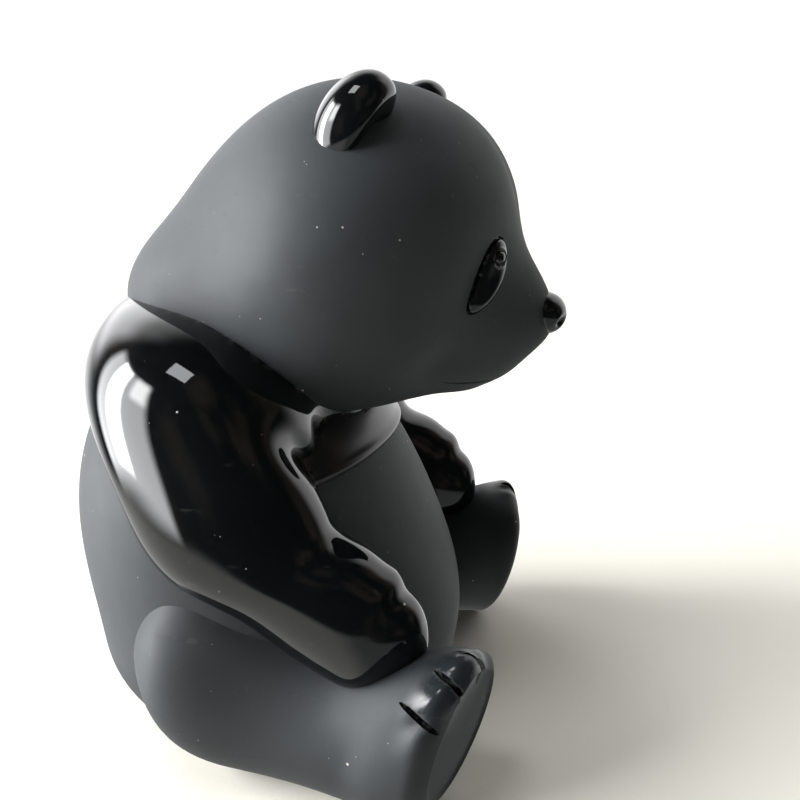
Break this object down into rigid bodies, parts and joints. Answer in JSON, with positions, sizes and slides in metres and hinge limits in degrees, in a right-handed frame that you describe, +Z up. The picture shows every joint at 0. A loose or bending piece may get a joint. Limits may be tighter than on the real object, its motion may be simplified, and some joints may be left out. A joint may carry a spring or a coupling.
{
  "type": "stone panda carving",
  "caption": "Small panda figurine sitting upright with paws on its shins, carved from one piece of black stone, frosted with polished ears, arms and nose; stands on its flat underside.",
  "frame": {"origin": "middle of the carving's box, on the flat underside that it stands on", "axes": "+Z up, the panda faces -Y, +X to the panda's left"},
  "size_m": [0.078, 0.0766, 0.0999],
  "materials": {
    "black_stone": "frosted, with ears, arms, neck band, eye patches and nose polished"
  },
  "bodies": {
    "root": {"panda_carving": "black_stone"}
  },
  "joints": []
}
